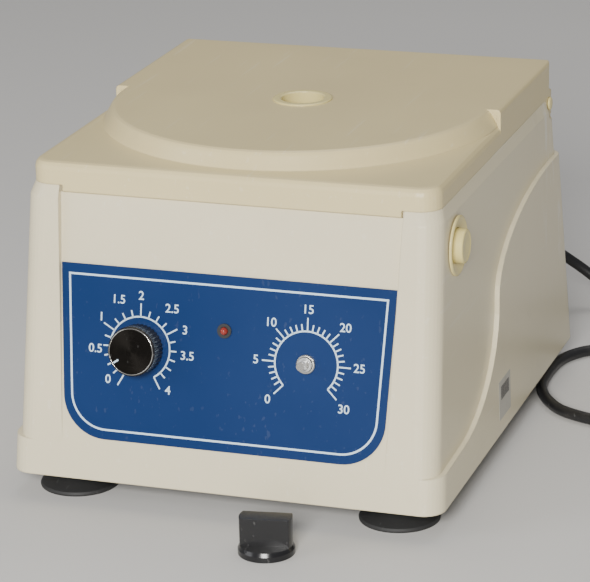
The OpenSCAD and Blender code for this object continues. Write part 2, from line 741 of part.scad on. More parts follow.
module hinge_pins() color(cream) place() for (s = [-1, 1])
  translate([s * lid_half, hinge_y, hinge_z]) rotate([0, 90 * s, 0]) rotate_extrude($fn = 48)
    polygon([[0, -18], [hinge_pin_r, -18], [hinge_pin_r, run_gap], [hinge_pin_r + 1.6, run_gap],
      [hinge_pin_r + 1.6, run_gap + 1], [hinge_pin_r + 0.8, run_gap + 1.6], [0, run_gap + 1.8]]);

// Latch: a dished ring with a long barrel, a button in it and a slide behind
barrel_in = 120;
button_out = latch_wall_x + button_proud;
button_in = latch_wall_x - 1.5;
stem_r = 4;
module latch_at() { translate([0, -latch_y, latch_z]) rotate([0, 90, 0]) children(); }
module latch_ring() color(cream) place() latch_at() difference() {
  rotate_extrude($fn = 96) polygon([[stem_r + run_gap, barrel_in], [latch_barrel_r, barrel_in],
    [latch_barrel_r, latch_wall_x + 0.6], [latch_ring_r, latch_wall_x + 0.6],
    [latch_ring_r, latch_wall_x + 1.6], [latch_ring_r - 1, latch_wall_x + 2.2],
    [button_r + run_gap + 1.5, latch_wall_x + 0.6], [button_r + run_gap, latch_wall_x],
    [button_r + run_gap, barrel_in + 2], [stem_r + run_gap, barrel_in + 2]]);
}

module latch_button() color(cream) place() latch_at() rotate_extrude($fn = 96)
  polygon([[0, button_in], [button_r, button_in], [button_r, button_out - 1],
    [button_r - 0.4, button_out - 0.3], [button_r - 1.2, button_out],
    [button_r - 3, button_out - 0.4], [0, button_out - 0.9]]);

slide_in = 90;
slide_out = 116;
slide_h = 12;
slot_in = striker_x - 2;
slot_out = striker_x + striker_t + button_travel + 1;
nose_reach = slot_in + 1.6;
module latch_slide() color(steel) place() translate([0, -latch_y, latch_z]) {
  difference() {
    translate([slide_in, -10, -slide_h / 2]) cube([slide_out - slide_in, 20, slide_h]);
    translate([slot_in, -striker_w / 2 - 3, -slide_h])
      cube([slot_out - slot_in, striker_w + 6, 2 * slide_h]);
  }
  translate([slot_in - 1, -3, -nose_h / 2]) cube([nose_reach - slot_in + 1, 6, nose_h]);
  rotate([0, 90, 0]) translate([0, 0, slide_out - 1])
    cylinder(r = stem_r, h = button_in - slide_out + 1, $fn = 48);
}

// Return spring, one unbroken coil from the barrel's floor to the button
spring_turns = 5;
spring_wire = 1.1;
spring_r = 8;
spring_from = barrel_in + 2 + run_gap + spring_wire / 2;
spring_to = button_in - run_gap - spring_wire / 2;
spring_steps = 16;
spring_sides = 6;
spring_points = [for (i = [0:spring_turns * spring_steps]) let (a = 360 / spring_steps * i,
    t = i / (spring_turns * spring_steps))
  [spring_from + (spring_to - spring_from) * t, spring_r * cos(a), spring_r * sin(a)]];
module latch_spring() color(steel) place() translate([0, -latch_y, latch_z])
  tube(spring_points, spring_wire / 2, spring_sides);

// A round tube through a list of points, with its ends closed. Each ring is
// square to the mean of the runs before and after it.
function unit(v) = v / norm(v);
function run_at(p, i) = unit(p[min(i + 1, len(p) - 1)] - p[max(i - 1, 0)]);
function side_of(v) = norm(cross(v, [0, 0, 1])) > 0.05 ? unit(cross(v, [0, 0, 1])) : [1, 0, 0];
module tube(p, r, sides) {
  n = len(p);
  rings = [for (i = [0:n - 1]) let (d = run_at(p, i), u = side_of(d), w = cross(u, d))
    for (k = [0:sides - 1]) let (a = 360 / sides * k - 90) p[i] + r * (cos(a) * u + sin(a) * w)];
  walls = [for (i = [0:n - 2], k = [0:sides - 1]) let (a = i * sides + k,
      b = i * sides + (k + 1) % sides) each [[a, b, b + sides], [a, b + sides, a + sides]]];
  caps = [for (k = [1:sides - 2]) each [[0, k + 1, k],
    [(n - 1) * sides, (n - 1) * sides + k, (n - 1) * sides + k + 1]]];
  polyhedron(points = rings, faces = concat(walls, caps));
}

panel_gap = 0.05;
module panel_plan() {
  half = recess_half(panel_top) - panel_side_gap;
  foot_half = recess_half(panel_top - panel_h * cos(panel_lean)) - panel_side_gap;
  translate([0, (panel_top - dial_z) / cos(panel_lean)]) difference() {
    polygon(concat([[-half, 0], [-foot_half, -panel_h + panel_r]],
      [for (i = [0:12]) let (t = 7.5 * i) [-foot_half + panel_r - panel_r * cos(t),
        -panel_h + panel_r - panel_r * sin(t)]],
      [for (i = [12:-1:0]) let (t = 7.5 * i) [foot_half - panel_r + panel_r * cos(t),
        -panel_h + panel_r - panel_r * sin(t)]],
      [[foot_half, -panel_h + panel_r], [half, 0]]));
  }
}
module control_panel() color(panel_blue) place() difference() {
  on_panel(0, dial_z, panel_gap) linear_extrude(panel_t) panel_plan();
  panel_hole(-speed_x, dial_z, bushing_r);
  panel_hole(timer_x, dial_z, bushing_r);
  panel_hole(0, lamp_z, lamp_r + 1.3);
}

// Both controls: a body behind the wall, a bushing through it, a nut in front
bushing_front = panel_gap + panel_t + 3.4;
module bushing() {
  translate([0, 0, -wall - 1]) cylinder(r = bushing_r, h = wall + 1 + bushing_front, $fn = 48);
}
module control_nut() {
  translate([0, 0, panel_gap + panel_t]) difference() {
    cylinder(r = 7.2, h = 2.2, $fn = 6);
    translate([0, 0, -1]) cylinder(r = bushing_r + fit_gap, h = 6, $fn = 48);
  }
}
module shaft_hole() {
  translate([0, 0, -60]) cylinder(r = shaft_r + fit_gap, h = 100, $fn = 48);
}

pot_r = 12;
pot_depth = 13;
module speed_control() color(steel) place() on_panel(-speed_x, dial_z) difference() {
  union() {
    translate([0, 0, -wall - pot_depth]) cylinder(r = pot_r, h = pot_depth - seat_gap, $fn = 64);
    translate([-5, -pot_r - 7, -wall - 7]) cube([10, 9, 2]);
    bushing();
  }
  shaft_hole();
}
module speed_control_nut() color(steel) place() on_panel(-speed_x, dial_z) control_nut();
module speed_shaft() color(steel) place() on_panel(-speed_x, dial_z, -wall - pot_depth + 3)
  cylinder(r = shaft_r, h = wall + pot_depth - 3 + shaft_len, $fn = 48);

// Speed knob: fluted skirt, hollow behind for the nut, with a spun face cap
knob_back = panel_gap + panel_t + 0.7;
flutes = 36;
module speed_knob() color(black) place() on_panel(-speed_x, dial_z, knob_back) difference() {
  rotate_extrude($fn = 96) polygon([[0, 0], [knob_r, 0], [knob_r, knob_h - 1],
    [knob_r - 0.6, knob_h], [knob_r - 1.6, knob_h], [knob_r - 1.6, knob_h - 0.8],
    [0, knob_h - 0.8]]);
  for (i = [0:flutes - 1]) rotate(360 / flutes * i) translate([knob_r + 0.35, 0, -1])
    cylinder(r = 0.9, h = knob_h - 1, $fn = 16);
  translate([0, 0, -1]) cylinder(r = 9, h = 4.6, $fn = 48);
  translate([0, 0, -1]) cylinder(r = shaft_r + 0.02, h = shaft_len, $fn = 48);
}
module speed_knob_cap() color([0.2, 0.2, 0.21]) place()
  on_panel(-speed_x, dial_z, knob_back + knob_h - 0.8)
    cylinder(r = knob_r - 1.7, h = 0.7, $fn = 96);

timer_w = 46;
timer_d = 34;
module timer_body() color(steel) place() on_panel(timer_x, dial_z) difference() {
  union() {
    translate([-timer_w / 2, -timer_w / 2, -wall - timer_d])
      cube([timer_w, timer_w, timer_d - seat_gap]);
    bushing();
  }
  shaft_hole();
}
module timer_nut() color(steel) place() on_panel(timer_x, dial_z) control_nut();
module timer_shaft() color(steel) place() on_panel(timer_x, dial_z, -wall - timer_d + 3)
  difference() {
    cylinder(r = shaft_r, h = wall + timer_d - 3 + shaft_len, $fn = 48);
    translate([shaft_r - 1, -5, wall + timer_d - 3 + shaft_len - 8]) cube([5, 10, 20]);
  }

// The timer's own knob, off its shaft and standing on the bench
module timer_knob() color(black) place() translate([loose_x, -loose_y, 0]) difference() {
  union() {
    rotate_extrude($fn = 96) polygon([[0, 0], [loose_r, 0], [loose_r, 3.5],
      [loose_r - 1.2, 6], [0, 7]]);
    intersection() {
      cylinder(r = loose_r - 1.2, h = loose_h, $fn = 96);
      rotate(8) translate([-loose_r, -loose_bar_w / 2, 3]) cube([2 * loose_r, loose_bar_w, loose_h - 3]);
    }
  }
  translate([0, 0, -1]) cylinder(r = shaft_r + 0.1, h = 15, $fn = 48);
  translate([0, 0, -1]) cylinder(r = 9, h = 4, $fn = 48);
}

module power_lamp() color([0.75, 0.16, 0.10]) place() on_panel(0, lamp_z, -7) union() {
  cylinder(r = lamp_r, h = 9, $fn = 48);
  translate([0, 0, 9]) intersection() {
    sphere(r = lamp_r, $fn = 48);
    translate([-5, -5, -eps]) cube(10);
  }
}
module lamp_holder() color(black) place() on_panel(0, lamp_z, panel_gap + panel_t) difference() {
  union() {
    cylinder(r = lamp_r + 2.2, h = 1, $fn = 48);
    translate([0, 0, -wall - 3]) cylinder(r = lamp_r + 1.3, h = wall + 3.5, $fn = 48);
  }
  translate([0, 0, -40]) cylinder(r = lamp_r + seat_gap, h = 80, $fn = 48);
}

board_x = -94;
board_y = 8;
board_w = 56;
board_l = 96;
board_lift = 8;
board_z = plate_top + board_lift;
board_t = 1.6;
board_inset = 5;
post_r = 3;
post_stud_r = 1.5;
post_stud_h = 2;
// Parts on the board: blocks as place, width, depth and height, and round cans
// as place, radius and height
board_blocks = [[-14, 20, 26, 16, 22], [-20, -4, 38, 12, 12]];
board_cans = [[8, -20, 8, 24], [-14, -24, 6.5, 18]];
module control_board() color([0.16, 0.36, 0.2]) place() translate([board_x, board_y, board_z]) {
  translate([-board_w / 2, -board_l / 2, 0]) difference() {
    cube([board_w, board_l, board_t]);
    for (x = [board_inset, board_w - board_inset], y = [board_inset, board_l - board_inset])
      translate([x, y, -1]) cylinder(r = post_stud_r + seat_gap, h = board_t + 2, $fn = 24);
  }
  for (b = board_blocks) translate([b[0], b[1], board_t - eps]) cube([b[2], b[3], b[4]]);
  for (c = board_cans) translate([c[0], c[1], board_t - eps])
    cylinder(r = c[2], h = c[3], $fn = 32);
}
module board_posts() color(steel) place()
  for (x = [board_inset - board_w / 2, board_w / 2 - board_inset],
      y = [board_inset - board_l / 2, board_l / 2 - board_inset])
    translate([board_x + x, board_y + y, plate_top]) {
      cylinder(r = post_r, h = board_lift, $fn = 32);
      translate([0, 0, board_lift - 1])
        cylinder(r = post_stud_r, h = 1 + board_t + post_stud_h, $fn = 24);
    }

module fuse_holder() color(black) place() translate([-fuse_x, fuse_face, fuse_z])
  rotate([-90, 0, 0]) difference() {
    union() {
      cylinder(r = fuse_r + 2.6, h = 2, $fn = 48);
      translate([0, 0, -30]) cylinder(r = fuse_r, h = 31, $fn = 48);
    }
    translate([0, 0, -24]) cylinder(r = fuse_r - 1.6, h = 40, $fn = 48);
  }
module fuse_cap() color(black) place() translate([-fuse_x, fuse_face, fuse_z])
  rotate([-90, 0, 0]) difference() {
    union() {
      translate([0, 0, 2 + seat_gap]) cylinder(r = fuse_r + 1, h = 6, $fn = 48);
      translate([0, 0, -20]) cylinder(r = fuse_r - 1.7, h = 23, $fn = 48);
    }
    translate([-0.8, -20, 6.5]) cube([1.6, 40, 5]);
  }

// Strain relief: a collar through the rear boss and a tapered, ribbed boot
gland_len = 46.5;
module cord_gland() color(black) place() translate([gland_x, gland_face, gland_z])
  rotate([-90, 0, 0]) difference() {
    rotate_extrude($fn = 48) polygon([[0, -14], [gland_hole_r, -14], [gland_hole_r, 0],
      [gland_hole_r + 2.5, 0], [gland_hole_r + 2.5, 3], [gland_hole_r, 4],
      [cord_d / 2 + 1.4, gland_len], [0, gland_len]]);
    for (i = [0:4]) translate([0, 0, 10 + 7 * i]) rotate_extrude($fn = 32)
      polygon([[cord_d / 2 + 0.9, 0], [20, 0], [20, 2], [cord_d / 2 + 0.9, 2]]);
  }

// Route of the mains lead from the boot's end to the coil, about the rotor axis
cord_route = [
  [100, 217, 62], [100, 231, 62], [102, 245, 59], [107, 258, 52], [116, 268, 42], [129, 274, 31],
  [144, 275, 20], [160, 271, 11], [176, 264, 6], [191, 256, 4], [206, 247, 4], [219, 236, 4],
  [227, 220, 4], [227, 203, 4], [218, 188, 4], [203, 180, 4], [186, 178, 4], [170, 176, 4],
  [156.5, 169, 4], [147, 156, 4], [142, 141, 4], [140.5, 125, 4], [140.5, 109, 4],
  [142, 93, 4], [147, 77, 4], [156, 61, 4], [168, 48, 4], [186, 39, 4], [205, 34, 4],
  [225, 33, 4], [244, 33, 4]];
cord_rings = 2;
function spline(a, b, c, d, t) = 0.5 * (2 * b + (c - a) * t + (2 * a - 5 * b + 4 * c - d) * t * t
  + (3 * b - a - 3 * c + d) * t * t * t);
function smooth_route(p, n) = concat([for (i = [0:len(p) - 2], k = [0:n - 1])
  let (a = i == 0 ? 2 * p[0] - p[1] : p[i - 1], d = i == len(p) - 2 ? 2 * p[i + 1] - p[i] : p[i + 2])
    spline(a, p[i], p[i + 1], d, k / n)], [p[len(p) - 1]]);
module mains_cord() color(black) place() tube(smooth_route(cord_route, cord_rings), cord_d / 2, 8);

// The put-away coil: in over two turns on the bench, up one layer in half a
// turn, and out again over two turns to the plug
coil_from = cord_route[len(cord_route) - 1];
coil_r = 52;
coil_x = coil_from[0] + cord_d;
coil_y = coil_from[1] + coil_r;
coil_pitch = 8.7;
coil_turns = 2;
coil_steps = 24;
coil_lift = 8.6;
coil_half = coil_turns * coil_steps;
climb = coil_steps / 2;
coil_total = 2 * coil_half + climb;
function coil_radius(i) = i < coil_half ? coil_r - coil_pitch * i / coil_steps
  : i < coil_half + climb ? coil_r - coil_pitch * coil_turns
  : coil_r - coil_pitch * (coil_total - i) / coil_steps;
function coil_z(i) = cord_d / 2 + coil_lift * min(1, max(0, (i - coil_half) / climb));
function coil_point(i) = let (a = 360 / coil_steps * i - 90)
  [coil_x + coil_radius(i) * cos(a), coil_y + coil_radius(i) * sin(a), coil_z(i)];
coil_end = coil_point(coil_total);
coil_points = concat([coil_point(0) - [cord_d, 0, 0]], [for (i = [0:coil_total]) coil_point(i)],
  [coil_end + [-cord_d, 0, 0], coil_end + [-2 * cord_d, 0, 0]]);
module cord_coil() color(black) place() tube(coil_points, cord_d / 2, 6);

// Least gap between turns: points at least a third of a turn apart along it
coil_gap = min([for (i = [0:len(coil_points) - 9], j = [i + 8:len(coil_points) - 1])
  norm(coil_points[i] - coil_points[j])]) - cord_d;
echo(str("least gap of the coil to itself: ", coil_gap));

// Plug: a moulded body with a waist for the fingers and three blades
plug_at = coil_end + [-2 * cord_d, 0, 0];
plug_len = 36;
module mains_plug() color(black) place() translate(plug_at) rotate([0, -90, 0]) {
  rotate_extrude($fn = 48) polygon([[0, 0], [cord_d / 2 + 1.6, 0], [cord_d / 2 + 3, 12],
    [plug_at[2] - 0.1, 20], [plug_at[2] - 0.1, plug_len], [0, plug_len]]);
  for (s = [-1, 1]) translate([-3, s * 6.4 - 0.8, plug_len - 1]) cube([6.3, 1.6, 18]);
  translate([-7, 0, plug_len - 1]) cylinder(r = 2.3, h = 20, $fn = 32);
}

housing();
base_plate();
base_screws();
foot_front_left();
foot_front_right();
foot_rear_left();
foot_rear_right();
foot_nuts();
bowl();
bowl_gasket();
spindle_boot();
motor();
motor_plate();
vibration_mounts();
mount_screws();
spindle();
rotor_head();
rotor_nut();
tube_sleeve_1();
tube_sleeve_2();
tube_sleeve_3();
tube_sleeve_4();
tube_sleeve_5();
tube_sleeve_6();
lid_shell();
lid_liner();
lid_screws();
lid_striker();
port_ring();
port_window();
hinge_pins();
latch_ring();
latch_button();
latch_slide();
latch_spring();
control_panel();
speed_control();
speed_control_nut();
speed_shaft();
speed_knob();
speed_knob_cap();
timer_body();
timer_nut();
timer_shaft();
timer_knob();
power_lamp();
lamp_holder();
control_board();
board_posts();
fuse_holder();
fuse_cap();
cord_gland();
mains_cord();
cord_coil();
mains_plug();
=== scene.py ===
import json
import math

import bmesh
import bpy
from mathutils import Matrix, Vector


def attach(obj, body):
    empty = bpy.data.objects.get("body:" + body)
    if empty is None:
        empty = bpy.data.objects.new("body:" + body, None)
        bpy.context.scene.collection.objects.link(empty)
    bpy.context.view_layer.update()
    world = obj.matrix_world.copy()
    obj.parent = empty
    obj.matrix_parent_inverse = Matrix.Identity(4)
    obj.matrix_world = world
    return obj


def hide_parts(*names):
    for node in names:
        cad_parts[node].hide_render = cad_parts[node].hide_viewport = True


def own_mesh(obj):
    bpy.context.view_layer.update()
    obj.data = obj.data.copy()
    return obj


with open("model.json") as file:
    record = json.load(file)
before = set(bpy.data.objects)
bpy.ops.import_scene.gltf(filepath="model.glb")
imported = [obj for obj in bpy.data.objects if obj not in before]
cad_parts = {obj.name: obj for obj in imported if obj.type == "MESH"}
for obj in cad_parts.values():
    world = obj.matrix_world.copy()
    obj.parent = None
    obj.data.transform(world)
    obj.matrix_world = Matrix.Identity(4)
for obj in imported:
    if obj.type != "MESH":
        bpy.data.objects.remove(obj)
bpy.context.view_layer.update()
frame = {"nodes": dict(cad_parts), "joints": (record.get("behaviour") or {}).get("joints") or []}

# Camera, where the photograph was taken from: the solved distance, bearing,
# height and small roll, with a long lens on a 36 mm wide sensor.
camera_place = Vector((0.60695, -1.73940, 0.73425))
camera_bearing = math.radians(19.153)
camera_rise = math.radians(18.891)
camera_roll = math.radians(-1.432)
camera_data = bpy.data.cameras.new("photo_camera")
camera_data.sensor_width = 36
camera_data.lens = 176.5
camera = bpy.data.objects.new("photo_camera", camera_data)
bpy.context.scene.collection.objects.link(camera)
back = Vector((math.sin(camera_bearing) * math.cos(camera_rise),
               -math.cos(camera_bearing) * math.cos(camera_rise), math.sin(camera_rise)))
level_right = (-back).cross(Vector((0, 0, 1))).normalized()
level_up = back.cross(level_right)
camera_right = math.cos(camera_roll) * level_right + math.sin(camera_roll) * level_up
camera_up = math.cos(camera_roll) * level_up - math.sin(camera_roll) * level_right
camera.matrix_world = Matrix.Translation(camera_place) @ Matrix(
    (camera_right, camera_up, back)).transposed().to_4x4()
bpy.context.scene.camera = camera

# Studio: a pale paper floor that curves up into a wall behind the object, a
# large soft key light in front, a weaker fill at the left and one from above.
studio_reach = 9.0
studio_depth = 6.0
studio_bend = 1.2
bend_steps = 12
wall_top = 4.0
paper_colour = (0.62, 0.61, 0.59, 1)
sky_colour = (0.95, 0.96, 1.0, 1)
sky_strength = 0.29
lit_point = Vector((0, 0, 0.1))


def link(thing):
    bpy.context.scene.collection.objects.link(thing)
    return thing


def mesh_object(name, shape, finish, smooth=False):
    """A finished shape made an object of that name, in one material."""
    mesh = bpy.data.meshes.new(name)
    shape.to_mesh(mesh)
    shape.free()
    for face in mesh.polygons:
        face.use_smooth = smooth
    mesh.materials.append(finish)
    return link(bpy.data.objects.new(name, mesh))


def draw_out(shape, extruded, move):
    """Moves the corners that an extrusion has just made, and turns the faces outwards."""
    bmesh.ops.translate(shape, vec=move,
                        verts=[v for v in extruded["geom"] if isinstance(v, bmesh.types.BMVert)])
    bmesh.ops.recalc_face_normals(shape, faces=shape.faces)


def feed(tree, node, inputs):
    """Gives a node's inputs their values, or the sockets that feed them."""
    for key, value in inputs.items():
        if isinstance(value, bpy.types.NodeSocket):
            tree.links.new(value, node.inputs[key])
        else:
            node.inputs[key].default_value = value
    return node


def add(tree, kind, inputs, **settings):
    """A new node of that kind, with its settings and its inputs."""
    made = tree.nodes.new(kind)
    for key, value in settings.items():
        setattr(made, key, value)
    return feed(tree, made, inputs)


def spread(tree, value, start, end, low=0.0, high=1.0):
    """A value's stretch from start to end, drawn out to run from low to high."""
    return add(tree, "ShaderNodeMapRange", {"Value": value, "From Min": start, "From Max": end,
                                            "To Min": low, "To Max": high}).outputs["Result"]


side_line = [(-studio_reach, 0), (studio_depth, 0)]
for step in range(1, bend_steps + 1):
    turn = math.pi / 2 * step / bend_steps
    side_line.append((studio_depth + studio_bend * math.sin(turn),
                      studio_bend * (1 - math.cos(turn))))
side_line.append((studio_depth + studio_bend, wall_top))
sweep = bmesh.new()
side_corners = [sweep.verts.new((-studio_reach, y, z)) for y, z in side_line]
side_edges = [sweep.edges.new(pair) for pair in zip(side_corners, side_corners[1:])]
draw_out(sweep, bmesh.ops.extrude_edge_only(sweep, edges=side_edges), (2 * studio_reach, 0, 0))
paper = bpy.data.materials.new("studio_paper")
paper.use_nodes = True
paper_tree = paper.node_tree
paper_noise = add(paper_tree, "ShaderNodeTexNoise", {"Scale": 3.0, "Detail": 5.0})
feed(paper_tree, paper_tree.nodes["Principled BSDF"], {
    "Base Color": paper_colour,
    "Roughness": spread(paper_tree, paper_noise.outputs["Fac"], 0.0, 1.0, 0.55, 0.65)})
mesh_object("studio_floor", sweep, paper, smooth=True)


def area_light(name, place, size, power, colour):
    """A soft rectangular light that faces the object."""
    data = bpy.data.lights.new(name, "AREA")
    data.shape = "RECTANGLE"
    data.size, data.size_y = size
    data.energy = power
    data.color = colour
    lamp = link(bpy.data.objects.new(name, data))
    aim = (lit_point - Vector(place)).to_track_quat("-Z", "Y")
    lamp.matrix_world = Matrix.Translation(place) @ aim.to_matrix().to_4x4()


area_light("key_light", (0.45, -2.7, 1.25), (1.0, 0.7), 112, (1.0, 0.985, 0.955))
area_light("fill_light", (-2.2, -1.6, 1.3), (1.4, 1.4), 20, (0.97, 0.98, 1.0))
area_light("top_light", (0.1, 0.9, 2.4), (1.6, 1.2), 16, (1.0, 0.98, 0.95))
world = bpy.data.worlds.new("studio")
world.use_nodes = True
feed(world.node_tree, world.node_tree.nodes["Background"],
     {"Color": sky_colour, "Strength": sky_strength})
bpy.context.scene.world = world

# Case: one thick beige plastic moulding with a satin grain, a little dusty and
# scratched, with pale rub marks on its right side towards the rear.
case_beige = (0.740, 0.665, 0.465)
rub_white = (0.90, 0.90, 0.91, 1)
scratch_white = (0.92, 0.92, 0.9, 1)
bump_reach = 0.0002


def object_place(tree):
    return add(tree, "ShaderNodeTexCoord", {}).outputs["Object"]


def combine(tree, operation, first, second, **settings):
    """Two values put together by that operation."""
    return add(tree, "ShaderNodeMath", {0: first, 1: second}, operation=operation,
               **settings).outputs[0]


def noise(tree, place, scale, detail, rough=0.5):
    """Soft specks between 0 and 1. A larger scale gives finer ones."""
    return add(tree, "ShaderNodeTexNoise", {"Vector": place, "Scale": scale, "Detail": detail,
                                            "Roughness": rough}).outputs["Fac"]


def laid_over(tree, mask, under, over):
    """One colour over another where the mask shows it. The node has several
    sockets of one name, so those for colour are picked by number."""
    factor, first, second, result = 0, 6, 7, 2
    return add(tree, "ShaderNodeMix", {factor: mask, first: under, second: over},
               data_type="RGBA").outputs[result]


def group_tree(name, inputs, outputs):
    """An empty shared effect with named inputs and outputs, and its two end nodes."""
    tree = bpy.data.node_groups.new(name, "ShaderNodeTree")
    for way, sockets in (("INPUT", inputs), ("OUTPUT", outputs)):
        for key, kind in sockets.items():
            tree.interface.new_socket(key, in_out=way, socket_type="NodeSocket" + kind)
    return tree, tree.nodes.new("NodeGroupInput").outputs, tree.nodes.new("NodeGroupOutput")


def use(tree, shared, inputs):
    """That shared effect placed in a material, with its own values."""
    return add(tree, "ShaderNodeGroup", inputs, node_tree=shared).outputs


def make_grain():
    """Shared effect: the fine grain of a moulded or sprayed surface, with its edges
    softened by a small radius."""
    tree, given, out = group_tree(
        "grain", {"Vector": "Vector", "Scale": "Float", "Depth": "Float", "Edge": "Float"},
        {"Normal": "Vector"})
    rounded = add(tree, "ShaderNodeBevel", {"Radius": given["Edge"]}, samples=4)
    fine = noise(tree, given["Vector"], given["Scale"], 3.0)
    bump = add(tree, "ShaderNodeBump", {"Strength": given["Depth"], "Distance": bump_reach,
                                        "Height": fine, "Normal": rounded.outputs["Normal"]})
    feed(tree, out, {"Normal": bump.outputs["Normal"]})
    return tree


def make_wear():
    """Shared effect: slow drifts of tone, small stains and fine scratches over a
    colour, with the roughness that goes with them."""
    tree, given, out = group_tree(
        "wear", {"Vector": "Vector", "Colour": "Color", "Stain": "Color", "Stains": "Float",
                 "Scratches": "Float", "Drift": "Float", "Roughness": "Float"},
        {"Colour": "Color", "Roughness": "Float"})
    slow = noise(tree, given["Vector"], 9.0, 4.0)
    drift = spread(tree, slow, 0.3, 0.7, -1.0, 1.0)
    level = combine(tree, "ADD", combine(tree, "MULTIPLY", drift, given["Drift"]), 1.0)
    toned = add(tree, "ShaderNodeHueSaturation", {"Value": level, "Color": given["Colour"]})
    spots = spread(tree, noise(tree, given["Vector"], 34.0, 6.0, 0.65), 0.58, 0.78)
    spots = combine(tree, "MULTIPLY", spots, given["Stains"])
    soiled = laid_over(tree, spots, toned.outputs["Color"], given["Stain"])
    lines = []
    for turn, fineness in ((0.4, 240.0), (2.1, 340.0)):
        turned = add(tree, "ShaderNodeMapping", {
            "Vector": given["Vector"], "Rotation": (turn, turn / 2, turn), "Scale": (1.0, 0.03, 0.6)})
        line = noise(tree, turned.outputs["Vector"], fineness, 2.0)
        lines.append(spread(tree, line, 0.69, 0.73))
    broken = combine(tree, "MULTIPLY", combine(tree, "MAXIMUM", *lines), slow)
    scratch = combine(tree, "MULTIPLY", broken, given["Scratches"])
    dulled = combine(tree, "ADD", combine(tree, "MULTIPLY", drift, 0.05),
                     combine(tree, "MULTIPLY", scratch, 0.3))
    feed(tree, out, {"Colour": laid_over(tree, scratch, soiled, scratch_white),
                     "Roughness": combine(tree, "ADD", dulled, given["Roughness"], use_clamp=True)})
    return tree


grain = make_grain()
wear = make_wear()


def material(name, colour, rough, metal=0.0, stains=0.2, scratches=0.2, drift=0.04, scale=900.0,
             depth=0.1, edge=0.0006, stain=(0.30, 0.25, 0.18, 1), stretch=(1, 1, 1), more=None):
    """A finish with wear and grain. stretch draws the grain out, and more holds
    values for the shader's other inputs."""
    made = bpy.data.materials.new(name)
    made.use_nodes = True
    tree = made.node_tree
    place = object_place(tree)
    drawn = add(tree, "ShaderNodeMapping", {"Vector": place, "Scale": stretch}).outputs["Vector"]
    worn = use(tree, wear, {"Vector": place, "Colour": (*colour, 1), "Stain": stain, "Stains": stains,
                            "Scratches": scratches, "Drift": drift, "Roughness": rough})
    skin = use(tree, grain, {"Vector": drawn, "Scale": scale, "Depth": depth, "Edge": edge})
    feed(tree, tree.nodes["Principled BSDF"], {
        "Base Color": worn["Colour"], "Roughness": worn["Roughness"], "Normal": skin["Normal"],
        "Metallic": metal, **(more or {})})
    return made


def finish_nodes(finish, *names):
    """The named CAD nodes as they are, in a better material."""
    for name in names:
        mesh = frame["nodes"][name].data
        mesh.materials.clear()
        mesh.materials.append(finish)


def rub_marks(tree):
    """A mask of short upright rubs. They fade in between two places each way, in
    metres: out to the right wall, back towards the rear, and up from the foot."""
    place = object_place(tree)
    drawn = add(tree, "ShaderNodeMapping", {"Vector": place, "Scale": (1.0, 1.0, 0.16),
                                            "Rotation": (0.25, 0, 0)})
    found = spread(tree, noise(tree, drawn.outputs["Vector"], 150.0, 6.0, 0.7), 0.54, 0.66, 0.0, 0.75)
    split = add(tree, "ShaderNodeSeparateXYZ", {0: place})
    for axis, start, full in (("X", 0.125, 0.135), ("Y", 0.105, 0.185), ("Z", 0.055, 0.110)):
        found = combine(tree, "MULTIPLY", found, spread(tree, split.outputs[axis], start, full))
    return found


case_plastic = material("case_plastic", case_beige, 0.36, stains=0.12, scratches=0.22, drift=0.02,
                        scale=1500.0, depth=0.12, edge=0.0011, stain=(0.40, 0.35, 0.25, 1))
case_tree = case_plastic.node_tree
case_shader = case_tree.nodes["Principled BSDF"]
case_worn = case_shader.inputs["Base Color"].links[0].from_socket
feed(case_tree, case_shader, {
    "Base Color": laid_over(case_tree, rub_marks(case_tree), case_worn, rub_white)})
finish_nodes(case_plastic, "housing")

# Rubber: matt black mouldings with a dusty bloom. The suction feet are bolted
# through the base plate, the mounts carry the motor's plate, and the gasket
# and the boot seal the bowl against the lid and the spindle.
rubber = material("black_rubber", (0.020, 0.020, 0.020), 0.62, stains=0.35, scratches=0.05,
                  stain=(0.12, 0.11, 0.10, 1), scale=1000.0, depth=0.2, edge=0.0006)
finish_nodes(rubber, "foot_front_left", "foot_front_right", "foot_rear_left", "foot_rear_right",
             "bowl_gasket", "spindle_boot", "vibration_mounts")

# Motor and control board: a grey painted motor on its plate, and a green
# circuit board on posts. They only show with the base plate off.
motor_paint = material("motor_paint", (0.075, 0.078, 0.085), 0.45, stains=0.3, scale=500.0, depth=0.2)
finish_nodes(motor_paint, "motor")
board_green = material("circuit_green", (0.030, 0.120, 0.050), 0.35, stains=0.1, scale=1400.0,
                       depth=0.1, edge=0.0002)
finish_nodes(board_green, "control_board")

# Bowl, rotor head and tube sleeves: spun from sheet aluminium, with fine
# turning marks. The bowl hangs by its flange, and the head sits on the spindle.
spun_aluminium = material("spun_aluminium", (0.66, 0.67, 0.68), 0.32, metal=1.0, stains=0.15,
                          scratches=0.25, drift=0.05, scale=300.0, depth=0.10, edge=0.0004,
                          stretch=(1, 1, 12))
finish_nodes(spun_aluminium, "bowl", "rotor_head", *("tube_sleeve_%d" % i for i in range(1, 7)))

